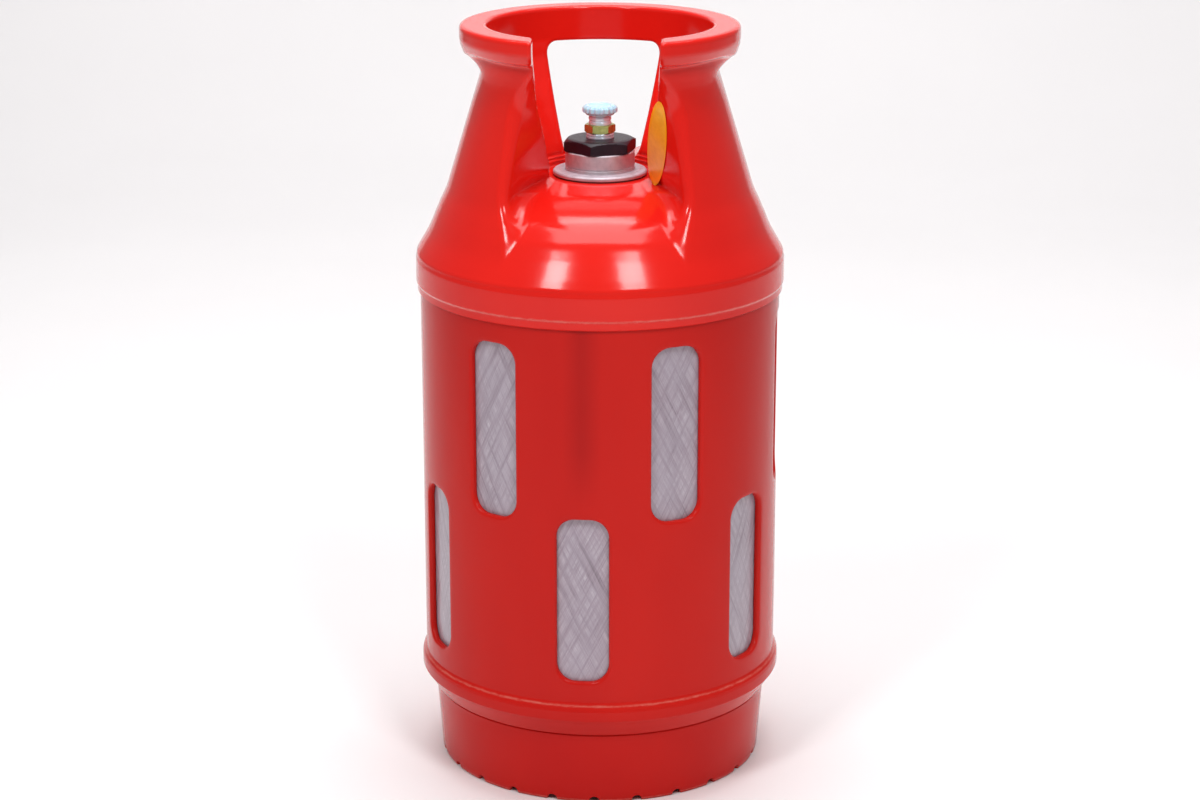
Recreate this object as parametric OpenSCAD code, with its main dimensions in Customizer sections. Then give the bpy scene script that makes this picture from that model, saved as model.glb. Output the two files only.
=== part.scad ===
// Composite propane cylinder: a blow-moulded liner, a filament-wound glass-fibre shell, a moulded red casing
// with a carrying ring, and a self-closing valve. Millimetres, +Z up, the carrying ring's open side faces -Y.
// The origin is the centre of the circle that the foot ring stands on.

/* [Casing] */
// Outer diameter of the body sleeve
body_d = 305; // [303:0.5:306]
// Height of the flat top of the carrying ring above the floor
total_h = 640; // [636:1:644]
// Wall thickness of the moulded casing
casing_wall = 4; // [3.5:0.1:4.2]
// Turn of the sleeve's window pattern about the vertical axis
sleeve_turn = -3.5; // [-5:0.5:5]

/* [Sleeve windows] */
// Number of windows in each of the two staggered rows
windows_per_row = 6; // [4:1:6]
// Width of a window
window_w = 44.4; // [38:0.2:46]
// Corner radius of a window
window_r = 16; // [8:0.5:18]
// Bottom of the lower row
low_row_z = 113.5; // [112:0.5:118]
// Height of a lower window
low_row_h = 142; // [130:1:144]
// Bottom of the upper row
high_row_z = 250.5; // [249:0.5:256]
// Height of an upper window
high_row_h = 148; // [140:1:149]

/* [Collar] */
// Outer diameter of the carrying ring
ring_d = 234; // [230:1:236]
// Inner diameter of the carrying ring
ring_bore = 188; // [184:1:190]
// Half of the gap between the two ends of the carrying ring
ring_gap_half = 51.5; // [48:0.5:54]
// Half width of the rear hand hold at its top
hold_top_half = 46.5; // [42:0.5:50]
// Half width of the rear hand hold at its bottom
hold_low_half = 36; // [32:0.5:40]
// Height of the top edge of the rear hand hold
hold_top_z = 610; // [606:1:612]
// Height of the bottom edge of the rear hand hold
hold_low_z = 510; // [508:1:514]

/* [Foot] */
// Outer diameter of the foot ring where it stands on the floor
foot_d = 279; // [276:1:282]
// Number of drain notches in the foot ring
notch_count = 24; // [12:1:30]
// Width of a drain notch
notch_w = 8.6; // [6:0.2:10]
// Height of a drain notch
notch_h = 4.6; // [3:0.2:6]

/* [Vessel] */
// Thickness of the wound glass-fibre shell
shell_wall = 4.5; // [4:0.1:5]
// Thickness of the blow-moulded liner
liner_wall = 3; // [2.6:0.1:3.2]

/* [Valve] */
// Width across the flats of the black adaptor nut
adaptor_af = 55; // [52:0.5:56]
// Width across the flats of the brass lock nut
lock_af = 22.7; // [22:0.1:24]
// Diameter of the safety cap
cap_d = 29.6; // [28:0.2:31]
// Number of grip flutes round the safety cap
cap_flutes = 18; // [12:1:24]
// How far the valve spindle can be pushed in
spindle_travel = 3; // [2:0.5:3]

/* [Hidden] */
$fn = 96;

red = [0.80, 0.09, 0.07];
far = 400;              // longer than any cut has to be

// Casing heights and radii
sleeve_r = body_d / 2;
sleeve_in = sleeve_r - 3.5;
band_r = sleeve_r + 3.5;
foot_top = 63;
band_low_z = 81;        // lower end of the straight part of the sleeve's foot band
band_top_z = 89;
sleeve_top = 441;
skirt_low = 416;        // lower lip of the shroud's skirt
skirt_face = 423;
seam_z = 445;
ring_r = ring_d / 2;
ring_in = ring_bore / 2;
ring_under = total_h - 12;

// Collar outline, radius and height
shoulder = [155.2, 449];
pillar_foot = [134.5, 483];
pillar_top = [99, total_h - 43];
hole_r = 36;            // hole in the crown, under the neck flange
crown_z = 512;          // top of the crown round the hole

// Vessel
shell_r = sleeve_in - 2;
shell_low = 102;        // lower end of the vessel's straight wall
skin_gap = 0.25;        // gap between two domed skins, filled by the resin or by the foam's give
shell_high = 430;
dome_low = 74;          // depth of the lower dome
dome_high = 76;
inner_r = shell_r - shell_wall;
void_r = inner_r - liner_wall;
boss_r = 29.2;
boss_top = 533;
boss_flange_r = 50;
boss_flange_z = 494;
spigot_r = 24;
plug_r = 20;
cushion_in = 100;       // inner radius of the base cushion
cushion_out = 130;

// Valve heights
nut_top = 543.5;
base_top = 548;
lock_top = 555;
outlet_top = 566;
cap_low = 563;
cap_top = 571;
thread_r = 10.6;
base_r = 11.7;
neck_r = 9.5;
bore_r = 4.2;
chamber_r = 7.5;
chamber_top = 532;
body_low = 505;
gland_r = 7;            // counterbore in the outlet
gland_low = 557;
head_r = 6.2;
head_low = 526;
stem_r = 1.8;
tail_r = 2.4;
coil_r = 5.4;
wire_r = 0.6;
coil_turns = 6;
plug_top = 511;
tail_low = plug_top - 0.5 + spindle_travel;  // stays inside the plug at full travel
cap_gap = 0.3;

// Front opening: each tall side wall starts beside the neck flange and spreads towards the front
cheek_turn = 26;        // degrees between a side wall and the Y axis
cheek_low = 22.3;       // distance of the wall from the axis at cheek_low_z
cheek_high = 10.7;      // the same at cheek_top_z
cheek_low_z = 505;
cheek_top_z = 598;
cheek_lean = atan((cheek_low - cheek_high) / (cheek_top_z - cheek_low_z));
flare_turn = 50;        // the same angle for the flared outer edge

// Oval label
label_h = 74;
label_w = 30;
label_out = 81;         // distance of its centre along the side wall
label_up = 45;          // height of its centre above cheek_low_z
label_tilt = 12;        // its top leans outwards by this many degrees

// Points along an upper (+1) or lower (-1) dome of radius a and depth b, from radius r0 to radius r1
function dome_pts(r0, r1, a, b, z0, up, n = 18) = [
    for (i = [0:n])
        let(t0 = asin(r0 / a), t1 = asin(r1 / a), t = t0 + (t1 - t0) * i / n)
            [a * sin(t), z0 + up * b * cos(t)]
];

// Points along a circular arc
function arc_pts(c, r, a0, a1, n = 8) = [
    for (i = [0:n])
        let(a = a0 + (a1 - a0) * i / n) c + r * [cos(a), sin(a)]
];

function reversed(list) = [for (i = [len(list) - 1:-1:0]) list[i]];

module ring_box(r0, r1, z0, z1) {
    rotate_extrude()
        translate([r0, z0])
            square([r1 - r0, z1 - z0]);
}

module torus(r_major, r_minor, z) {
    rotate_extrude()
        translate([r_major, z])
            circle(r = r_minor, $fn = 32);
}

// ---- foot ring ----

module foot_ring() {
    outline = [
        [foot_d / 2 - 6, 0], [foot_d / 2 - 1, 0], [foot_d / 2, 1.5], [foot_d / 2 + 4.5, foot_top - 1.5],
        [foot_d / 2 + 3, foot_top], [139.6, foot_top], [139.6, foot_top + 4.3], [141, foot_top + 5.2],
        [141, foot_top + 6.5], [139.6, foot_top + 8], [135, foot_top + 8], [134.6, 50], [104, 33], [96, 33],
        [96, 28], [106, 28], [135, 43]
    ];
    color(red)
        difference() {
            rotate_extrude()
                polygon(outline);
            for (i = [0:notch_count - 1])
                rotate([0, 0, i * 360 / notch_count])
                    notch();
        }
}

// Round-topped drain notch, cut along the radius
module notch() {
    translate([0, -foot_d / 2 - 8, 0])
        rotate([-90, 0, 0])
            linear_extrude(22)
                union() {
                    translate([0, notch_w / 2 - notch_h])
                        circle(d = notch_w, $fn = 32);
                    translate([-notch_w / 2, notch_w / 2 - notch_h])
                        square([notch_w, 12]);
                }
}

// ---- body sleeve ----

module window_cut(z0, h) {
    translate([0, -sleeve_in + 6, z0])
        rotate([90, 0, 0])
            linear_extrude(20)
                rounded_slot(window_w, h, window_r);
}

module rounded_slot(w, h, r) {
    union() {
        translate([-w / 2, r])
            square([w, h - 2 * r]);
        translate([-w / 2 + r, 0])
            square([w - 2 * r, h]);
        for (x = [-w / 2 + r, w / 2 - r], z = [r, h - r])
            translate([x, z])
                circle(r = r);
    }
}

module body_sleeve() {
    outline = [
        [139.8, foot_top], [145, foot_top], [153.6, band_low_z - 3], [band_r - 0.6, band_low_z - 0.8],
        [band_r, band_low_z + 1], [band_r, band_top_z], [band_r - 0.8, band_top_z + 1.6],
        [sleeve_r, band_top_z + 6], [sleeve_r, sleeve_top], [sleeve_in, sleeve_top],
        [sleeve_in, band_low_z - 3], [143.5, foot_top + 4],
        [139.8, foot_top + 4]
    ];
    pitch = 360 / windows_per_row;
    color(red)
        difference() {
            rotate_extrude()
                polygon(outline);
            for (i = [0:windows_per_row - 1]) {
                rotate([0, 0, sleeve_turn + i * pitch])
                    window_cut(low_row_z, low_row_h);
                rotate([0, 0, sleeve_turn + (i + 0.5) * pitch])
                    window_cut(high_row_z, high_row_h);
            }
        }
}

// ---- shroud with the carrying ring ----

// Upper side of the crown from the pillar foot to the hole: a tight knuckle, then a shallow cap
knuckle_r = 40;
crown_edge = pillar_foot + [-24, 17];
crown_pts = concat(
    arc_pts([pillar_foot[0] - knuckle_r * sin(57), pillar_foot[1] - knuckle_r * cos(57)], knuckle_r, 33, 76),
    [[80, 507], [60, 510], [hole_r, crown_z]]
);

// Inside of the collar from the ring down to the floor round the neck flange, with its stepped ledges
funnel_pts = [
    [ring_in, total_h - 3], [ring_in, 612], [91, 598], [84, 581], [72, 557], [61, 540], [55, 530],
    [52, 523.5], [52, 520.5], [49.5, 520.5], [49.5, 517.5], [47, 517.5], [47, crown_z]
];

// Outside of the collar from the shoulder up to the ring
collar_pts = concat(
    [shoulder, pillar_foot, pillar_top, [99.8, 602], [103.2, 607], [110, 612], [113.5, 618]],
    [[115.2, ring_under - 1], [ring_r, ring_under], [ring_r, total_h - 4], [ring_r - 1.2, total_h - 1.2]],
    [[ring_r - 4, total_h], [ring_in + 3, total_h]]
);

module crown_shell() {
    under = [for (p = reversed(crown_pts)) p + [p[0] > 100 ? -3.2 : 0, p[0] > 100 ? -3 : -casing_wall]];
    rotate_extrude()
        polygon(concat([[151.6, sleeve_top], [151.6, 449], shoulder], crown_pts, under, [[149.5, 447]]));
}

module skirt() {
    rotate_extrude()
        polygon([
            [sleeve_r + 0.2, skirt_low], [sleeve_r + 1.2, skirt_low], [band_r, skirt_face], [band_r, seam_z],
            [shoulder[0], seam_z + 0.8], shoulder, [149, 453], [sleeve_in, sleeve_top + 4],
            [sleeve_in, sleeve_top], [sleeve_r + 0.2, sleeve_top]
        ]);
}

module collar_mass() {
    rotate_extrude()
        polygon(concat(collar_pts, funnel_pts, [[47, 508], [100, 498], [140, 466]]));
}

// The hollow inside the pillars, open towards the vessel
module collar_hollow() {
    w = casing_wall;
    rotate_extrude()
        polygon([
            [shoulder[0] - w - 2, shoulder[1] - 12], [shoulder[0] - w - 1, shoulder[1] + 0.5],
            [pillar_foot[0] - w, pillar_foot[1] - 1], [101.5, 582], [94, 588], [78, 558], [66, 538.5],
            [59.5, 526], [57, 516], [57, 480]
        ]);
}

// Everything in front of one flat or folded side wall. wall lists height and distance from the axis.
module wall_side(turn, wall, widen) {
    rotate([0, 0, turn])
        rotate([90, 0, 0])
            linear_extrude(far)
                polygon(concat(
                    [for (w = wall) [w[1] + widen, w[0]]],
                    [[-far, wall[len(wall) - 1][0]], [-far, wall[0][0]]]
                ));
}

// The room between two mirrored side walls
module wall_pair(turn, wall, widen) {
    intersection() {
        wall_side(turn, wall, widen);
        mirror([1, 0, 0])
            wall_side(turn, wall, widen);
    }
}

// The front opening: a foot beside the flange, tall side walls with flared outer edges, and the ring's gap
module front_opening(widen = 0) {
    foot = [[476, 38], [514, 38], [525, 28]];
    cheek = [[470, cheek_low], [cheek_low_z, cheek_low], [cheek_top_z, cheek_high], [608, cheek_high]];
    flare = [[465, -30], [516, -30], [540, -25.5], [607, -20]];
    wall_pair(18, foot, widen);
    wall_pair(cheek_turn, cheek, widen);
    wall_pair(flare_turn, flare, widen);
    translate([-ring_gap_half - widen, -200, 604])
        cube([2 * (ring_gap_half + widen), 130, 60]);
}

// Opening through the collar's back wall, under the ring
module rear_hold(grow = 0) {
    r_top = 10;
    r_low = 24;
    xt = hold_top_half + grow - r_top;
    xl = hold_low_half + grow - r_low;
    zt = hold_top_z + grow - r_top;
    zl = hold_low_z - grow + r_low;
    translate([0, 200, 0])
        rotate([90, 0, 0])
            linear_extrude(160)
                polygon(concat(
                    arc_pts([xt, zt], r_top, -6, 90), arc_pts([-xt, zt], r_top, 90, 186),
                    arc_pts([-xl, zl], r_low, 186, 270), arc_pts([xl, zl], r_low, 270, 354)
                ));
}

module shroud() {
    color(red)
        difference() {
            union() {
                difference() {
                    collar_mass();
                    front_opening();
                }
                crown_shell();
                skirt();
            }
            difference() {
                collar_hollow();
                front_opening(casing_wall);
                rear_hold(casing_wall);
            }
            rear_hold();
        }
}

// ---- cushions between the vessel and the casing ----

module base_cushion() {
    top = dome_pts(cushion_in, cushion_out, shell_r + skin_gap, dome_low + skin_gap, shell_low, -1, 6);
    color("dimgray")
        rotate_extrude()
            polygon(concat([[104, 33], [cushion_in, 33]], top, [[cushion_out, 47.45]]));
}

module crown_cushion() {
    low = dome_pts(64, 92, shell_r + skin_gap, dome_high + skin_gap, shell_high, 1, 5);
    color("dimgray")
        rotate_extrude()
            // its upper face stays 0.6 mm under the collar's foot, which runs in a straight line
            polygon(concat(low, [[92, 498.7], [80, 501.1], [64, 504.1]]));
}

// ---- vessel ----

// Half outline of the vessel's outer surface, from the top polar opening to the bottom one
function vessel_pts(inset, top_r, low_r) = concat(
    dome_pts(top_r, shell_r - inset, shell_r - inset, dome_high - inset, shell_high, 1),
    dome_pts(shell_r - inset, low_r, shell_r - inset, dome_low - inset, shell_low, -1)
);

module composite_shell() {
    color([0.72, 0.68, 0.74])
        rotate_extrude()
            polygon(concat(vessel_pts(0, boss_r, plug_r), reversed(vessel_pts(shell_wall, boss_r, plug_r))));
}

module liner() {
    seat = [[spigot_r + 0.2, boss_flange_z], [boss_flange_r, boss_flange_z]];
    under = [[60, boss_flange_z - liner_wall], [spigot_r + 0.2, boss_flange_z - liner_wall]];
    color([0.88, 0.87, 0.82])
        rotate_extrude()
            polygon(concat(
                seat, vessel_pts(shell_wall + skin_gap, boss_flange_r, 0),
                reversed(vessel_pts(shell_wall + liner_wall, 62, 0)), under
            ));
}

// Plug that carries the vessel's lower end while the shell is wound
module tail_plug() {
    out_z = dome_pts(plug_r, plug_r, shell_r, dome_low, shell_low, -1, 1)[0][1];
    color("gray")
        rotate_extrude()
            polygon(concat(
                dome_pts(0, plug_r, inner_r, dome_low - shell_wall, shell_low, -1, 3),
                [[plug_r, out_z], [plug_r - 2, out_z - 1.6], [0, out_z - 1.6]]
            ));
}

module neck_boss() {
    under = dome_high - shell_wall - skin_gap;
    roof = dome_pts(boss_r, boss_flange_r, inner_r - skin_gap, under, shell_high, 1, 4);
    color("silver")
        difference() {
            rotate_extrude()
                polygon(concat(
                    [[20, 480], [spigot_r - 1, 480], [spigot_r, 481], [spigot_r, boss_flange_z]],
                    [[boss_flange_r, boss_flange_z]], reversed(roof),
                    [[boss_r, boss_top - 1], [boss_r - 1, boss_top], [24, boss_top], [24, boss_top - 2.6]],
                    [[20, boss_top - 2.6]]
                ));
            ring_box(21.8, spigot_r + 1, 491.2, 493.8);
        }
}

module boss_seal() {
    color([0.1, 0.1, 0.1])
        torus(23, 1.2, 492.5);
}

module neck_flange() {
    color("silver")
        rotate_extrude()
            polygon([
                [boss_r, 513], [39, 513], [39.6, 513.6], [39.6, 516], [38.8, 516.8], [34, 517.4],
                [boss_r, 517.4]
            ]);
}

module flange_gasket() {
    color([0.12, 0.12, 0.12])
        ring_box(boss_r, 39, crown_z + 0.2, 513);
}

// ---- valve ----

module adaptor_nut() {
    color([0.10, 0.08, 0.11])
        difference() {
            union() {
                intersection() {
                    rotate([0, 0, 18])
                        translate([0, 0, boss_top])
                            cylinder(d = adaptor_af / cos(30), h = nut_top - boss_top, $fn = 6);
                    rotate_extrude()
                        polygon([
                            [0, boss_top], [30.6, boss_top], [31.6, boss_top + 1], [31.6, nut_top - 3],
                            [27, nut_top - 0.4], [24, nut_top], [0, nut_top]
                        ]);
                }
                translate([0, 0, 512])
                    cylinder(r = 20, h = boss_top - 512 + 0.5);
            }
            translate([0, 0, 500])
                cylinder(r = thread_r, h = 60);
        }
}

module adaptor_seal() {
    color([0.1, 0.1, 0.1])
        torus(21.3, 1.28, boss_top - 1.3);
}

module valve_body() {
    color([0.86, 0.87, 0.90])
        difference() {
            rotate_extrude()
                polygon([
                    [0, body_low], [thread_r - 1, body_low], [thread_r, body_low + 1], [thread_r, nut_top],
                    [base_r, nut_top], [base_r, base_top - 0.8], [base_r - 0.8, base_top], [neck_r, base_top],
                    [neck_r, 561.4], [neck_r - 0.6, 562], [neck_r - 0.6, 562.6], [neck_r, 563.2],
                    [neck_r, outlet_top - 0.6], [neck_r - 0.6, outlet_top], [0, outlet_top]
                ]);
            translate([0, 0, body_low - 1])
                cylinder(r = chamber_r, h = chamber_top - body_low + 1);
            translate([0, 0, chamber_top - 1])
                cylinder(r = bore_r, h = 40);
            translate([0, 0, gland_low])
                cylinder(r = gland_r, h = 20);
        }
}

module lock_nut() {
    color([0.62, 0.62, 0.30])
        difference() {
            intersection() {
                translate([0, 0, base_top])
                    cylinder(d = lock_af / cos(30), h = lock_top - base_top, $fn = 6);
                rotate_extrude()
                    polygon([
                        [0, base_top], [12, base_top], [13.2, base_top + 1.2], [13.2, lock_top - 1.2],
                        [12, lock_top], [0, lock_top]
                    ]);
            }
            translate([0, 0, base_top - 1])
                cylinder(r = neck_r, h = 20);
        }
}

module outlet_seal() {
    color([0.1, 0.1, 0.1])
        ring_box(4.9, gland_r, gland_low, gland_low + 2.4);
}

module spindle() {
    color("gold")
        rotate_extrude()
            polygon([
                [0, tail_low], [tail_r - 0.5, tail_low], [tail_r, tail_low + 0.5], [tail_r, head_low],
                [head_r, head_low],
                [head_r, head_low + 4], [3, head_low + 4], [3, head_low + 5.6], [stem_r, head_low + 5.6],
                [stem_r, 560.5], [stem_r - 0.6, 561.1], [0, 561.1]
            ]);
}

module spindle_seal() {
    color([0.1, 0.1, 0.1])
        ring_box(3, head_r, head_low + 4, chamber_top - 0.03);
}

// Compression spring from the plug up to the spindle's head
module spindle_spring() {
    steps = coil_turns * 14;
    sides = 8;
    z0 = plug_top + wire_r + 0.05;
    z1 = head_low - wire_r - 0.05;
    pts = [
        for (i = [0:steps], k = [0:sides - 1])
            let(a = 360 * coil_turns * i / steps, b = 360 * k / sides, r = coil_r + wire_r * cos(b))
                [r * cos(a), r * sin(a), z0 + (z1 - z0) * i / steps + wire_r * sin(b)]
    ];
    skin = [
        for (i = [0:steps - 1], k = [0:sides - 1])
            let(n = (k + 1) % sides)
                [i * sides + k, i * sides + n, (i + 1) * sides + n, (i + 1) * sides + k]
    ];
    color("silver")
        polyhedron(pts, concat(
            skin, [[for (k = [sides - 1:-1:0]) k]], [[for (k = [0:sides - 1]) steps * sides + k]]
        ));
}

module spring_plug() {
    color("gold")
        ring_box(tail_r + 0.4, chamber_r, plug_top - 4, plug_top);
}

module safety_cap() {
    r = cap_d / 2;
    bore = neck_r + cap_gap;
    roof = outlet_top + cap_gap;
    color([0.70, 0.88, 0.95])
        difference() {
            rotate_extrude()
                polygon([
                    [bore, cap_low], [r - 1.4, cap_low], [r - 0.4, cap_low + 1], [r, cap_low + 1.6],
                    [r, cap_top - 2], [r - 1.4, cap_top - 0.4], [r - 4, cap_top], [0, cap_top],
                    [0, roof + 1.4], [bore, roof + 1.4]
                ]);
            for (i = [0:cap_flutes - 1])
                rotate([0, 0, i * 360 / cap_flutes])
                    translate([r + 0.9, 0, cap_low - 1])
                        cylinder(r = 1.6, h = 20, $fn = 24);
        }
}

module cap_disc() {
    color([0.15, 0.15, 0.15])
        translate([0, 0, outlet_top + cap_gap])
            cylinder(r = neck_r + cap_gap, h = 1.4);
}

// ---- label ----

// Oval sticker on the right side wall of the front opening
module info_label() {
    oval = [for (a = [0:10:350]) [label_w / 2 * cos(a), label_h / 2 * sin(a)]];
    color([0.88, 0.60, 0.20])
        rotate([0, 0, cheek_turn])
            translate([cheek_low, -label_out, cheek_low_z])
                rotate([0, -cheek_lean, 0])
                    translate([0, 0, label_up])
                        rotate([90, 0, -90])
                            linear_extrude(0.3)
                                rotate(-label_tilt)
                                    polygon(oval);
}

foot_ring();
body_sleeve();
shroud();
base_cushion();
crown_cushion();
tail_plug();
liner();
composite_shell();
neck_boss();
boss_seal();
flange_gasket();
neck_flange();
adaptor_nut();
adaptor_seal();
valve_body();
lock_nut();
outlet_seal();
spindle();
spindle_seal();
spindle_spring();
spring_plug();
safety_cap();
cap_disc();
info_label();
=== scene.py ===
"""Looks of the composite gas cylinder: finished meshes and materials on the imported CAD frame.

Shapes are worked out in millimetres and scaled to metres when an object is made; material
patterns are in metres. The front of the object is -Y.
"""

import math

import bpy
import numpy as np
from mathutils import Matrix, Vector


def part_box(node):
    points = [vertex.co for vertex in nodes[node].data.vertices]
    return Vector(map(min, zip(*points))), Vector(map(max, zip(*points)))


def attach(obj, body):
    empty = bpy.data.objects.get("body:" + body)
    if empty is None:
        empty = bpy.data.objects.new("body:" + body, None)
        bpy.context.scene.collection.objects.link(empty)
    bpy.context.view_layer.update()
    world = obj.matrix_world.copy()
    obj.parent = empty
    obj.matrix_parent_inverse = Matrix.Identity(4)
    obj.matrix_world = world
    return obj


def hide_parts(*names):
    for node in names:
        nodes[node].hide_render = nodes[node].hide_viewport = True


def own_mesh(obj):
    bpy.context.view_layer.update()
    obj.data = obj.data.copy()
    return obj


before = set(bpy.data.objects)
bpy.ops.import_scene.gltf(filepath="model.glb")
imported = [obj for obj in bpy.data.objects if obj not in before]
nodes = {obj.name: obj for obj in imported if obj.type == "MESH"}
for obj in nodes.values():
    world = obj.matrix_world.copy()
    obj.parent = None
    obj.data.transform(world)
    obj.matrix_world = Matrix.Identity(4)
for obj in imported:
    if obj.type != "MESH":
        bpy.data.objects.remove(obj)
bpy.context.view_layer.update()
MM = 0.001


# ---- sizes, in mm, from the frame
def low(node):
    return np.array(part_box(node)[0]) / MM


def high(node):
    return np.array(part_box(node)[1]) / MM


TOTAL_H = high("shroud")[2]
SKIRT_R = high("shroud")[0]
SKIRT_LOW = low("shroud")[2]
BAND_R = high("body_sleeve")[0]
FOOT_TOP = low("body_sleeve")[2]
SLEEVE_TOP = high("body_sleeve")[2]
SLEEVE_R = BAND_R - 3.5
WALL = 3.5
SHELL_R = high("composite_shell")[0]
CROWN_Z = low("neck_flange")[2] - 1
RING_R = 117.0
RING_IN = 94.0
GAP_HALF = 51.4
SLEEVE_TURN = math.radians(-3.5)
WINDOW = {"half": 22.2, "r": 16.0}
LOW_ROW = (113.5, 255.5)
HIGH_ROW = (250.5, 398.5)
WINDING_LEAN = math.radians(27)


# ---- outlines
def rounded(corners, steps=5):
    """Closed outline with an arc at each corner; corners are (radius, height, fillet)."""
    out = []
    n = len(corners)
    for i, (x, y, fillet) in enumerate(corners):
        p = np.array((x, y), float)
        to_a = np.array(corners[i - 1][:2], float) - p
        to_b = np.array(corners[(i + 1) % n][:2], float) - p
        la, lb = np.hypot(*to_a), np.hypot(*to_b)
        u, v = to_a / la, to_b / lb
        half = math.acos(max(-1.0, min(1.0, float(u @ v)))) / 2
        if fillet <= 0 or half > math.pi / 2 - 0.01:
            out.append(tuple(p))
            continue
        run = min(fillet / math.tan(half), 0.48 * la, 0.48 * lb)
        r = run * math.tan(half)
        mid = (u + v) / np.hypot(*(u + v))
        c = p + mid * r / math.sin(half)
        a0 = math.atan2(*(p + u * run - c)[::-1])
        a1 = math.atan2(*(p + v * run - c)[::-1])
        turn = (a1 - a0 + math.pi) % (2 * math.pi) - math.pi
        for k in range(steps + 1):
            a = a0 + turn * k / steps
            out.append((c[0] + r * math.cos(a), c[1] + r * math.sin(a)))
    return out


def polygon_distance(outline, r, z):
    """Signed distance from points (r, z) to a closed outline, negative inside."""
    best = np.full(np.broadcast(r, z).shape, np.inf)
    inside = np.zeros(best.shape, bool)
    for (ar, az), (br, bz) in zip(outline, outline[1:] + outline[:1]):
        er, ez = br - ar, bz - az
        length2 = er * er + ez * ez
        if length2 < 1e-12:
            continue
        t = np.clip(((r - ar) * er + (z - az) * ez) / length2, 0, 1)
        best = np.minimum(best, (r - ar - t * er) ** 2 + (z - az - t * ez) ** 2)
        if abs(ez) > 1e-9:
            inside ^= ((az > z) != (bz > z)) & (r < er * (z - az) / ez + ar)
    return np.where(inside, -1, 1) * np.sqrt(best)


def smooth_step(a, b, x):
    t = np.clip((x - a) / (b - a), 0, 1)
    return t * t * (3 - 2 * t)


def cut_round(a, b, r):
    """Intersection of two distance fields with its edge rounded to radius r."""
    return np.minimum(-r, np.maximum(a, b)) + np.hypot(np.maximum(a + r, 0), np.maximum(b + r, 0))


def join_round(a, b, r):
    """Union of two distance fields with its valley filled to radius r."""
    return np.maximum(r, np.minimum(a, b)) - np.hypot(np.maximum(r - a, 0), np.maximum(r - b, 0))


# ---- meshes
def new_object(name, data):
    thing = bpy.data.objects.new(name, data)
    bpy.context.scene.collection.objects.link(thing)
    return thing


def make(name, points, faces, material, slot, body="cylinder", replaces=(), sharp=35):
    mesh = bpy.data.meshes.new(name)
    mesh.from_pydata(
        (np.asarray(points, float) * MM).tolist(), [], [list(map(int, f)) for f in faces]
    )
    mesh.validate()
    mesh.shade_smooth()
    mesh.set_sharp_from_angle(angle=math.radians(sharp))
    mesh.update()
    piece = new_object(name, mesh)
    mesh.materials.append(material)
    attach(piece, body)
    if replaces:
        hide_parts(*replaces)
    return piece


def weld(points, faces, close=0.004):
    """Joins points closer than close and drops the faces that collapse."""
    keys = np.round(np.asarray(points) / close).astype(np.int64)
    _, first, where = np.unique(keys, axis=0, return_index=True, return_inverse=True)
    where = where.reshape(-1)
    loops = [list(dict.fromkeys(where[list(face)].tolist())) for face in faces]
    return np.asarray(points)[first], [loop for loop in loops if len(loop) > 2]


def grid_faces(rows, cols, wrap_rows=False, wrap_cols=False):
    """Quads of a grid of points stored row by row."""
    out = []
    for i in range(rows if wrap_rows else rows - 1):
        for j in range(cols if wrap_cols else cols - 1):
            a, b = i, (i + 1) % rows
            c, d = j, (j + 1) % cols
            out.append((a * cols + c, a * cols + d, b * cols + d, b * cols + c))
    return out


def closed_grid(rows, close=0.003):
    """Welded mesh of rows of points that close on themselves both ways."""
    rows = np.array(rows)
    return weld(rows.reshape(-1, 3), grid_faces(*rows.shape[:2], True, True), close)


def polar(r, a, z):
    """Points from radius, angle and height."""
    return np.stack(np.broadcast_arrays(r * np.cos(a), r * np.sin(a), z), -1)


def even_angles(count):
    return np.linspace(0, 2 * math.pi, count, endpoint=False)


def lathe(name, outline, material, slot, count, **more):
    """Solid of revolution of an outline that runs anticlockwise in (radius, height)."""
    radii, heights = np.array(outline).T
    rows = [polar(radii, a, heights) for a in even_angles(count)]
    return make(name, *closed_grid(rows, 0.004), material, slot, **more)


# ---- materials
def new_material(name, rough, metal=0.0, **sockets):
    m = bpy.data.materials.new(name)
    m.use_nodes = True
    tree = m.node_tree
    shader = tree.nodes["Principled BSDF"]
    shader.inputs["Roughness"].default_value = rough
    shader.inputs["Metallic"].default_value = metal
    for key, value in sockets.items():
        shader.inputs[key.replace("_", " ")].default_value = value
    return m, tree, shader


def add(tree, kind, links=None, **values):
    """New node; links maps an input to a socket, values set inputs or node properties."""
    node = tree.nodes.new(kind)
    for key, value in values.items():
        if hasattr(node, key):
            setattr(node, key, value)
        else:
            node.inputs[key.replace("_", " ")].default_value = value
    for key, socket in (links or {}).items():
        tree.links.new(socket, node.inputs[key])
    return node


def mapping(tree, vector, **values):
    return add(tree, "ShaderNodeMapping", {"Vector": vector}, **values).outputs["Vector"]


def coords(tree, scale=(1, 1, 1), turn=(0, 0, 0)):
    place = add(tree, "ShaderNodeTexCoord").outputs["Object"]
    return mapping(tree, place, Scale=scale, Rotation=turn)


def noise(tree, vector, scale, detail=3.0, rough=0.5):
    return add(
        tree, "ShaderNodeTexNoise", {"Vector": vector}, Scale=scale, Detail=detail, Roughness=rough
    ).outputs["Fac"]


def ramp(tree, fac, stops):
    node = add(tree, "ShaderNodeValToRGB", {"Fac": fac})
    while len(node.color_ramp.elements) < len(stops):
        node.color_ramp.elements.new(0.5)
    for element, (place, colour) in zip(node.color_ramp.elements, stops):
        element.position = place
        element.color = (*colour, 1) if len(colour) == 3 else colour
    return node.outputs["Color"]


def grey(value):
    return (value, value, value)


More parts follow.
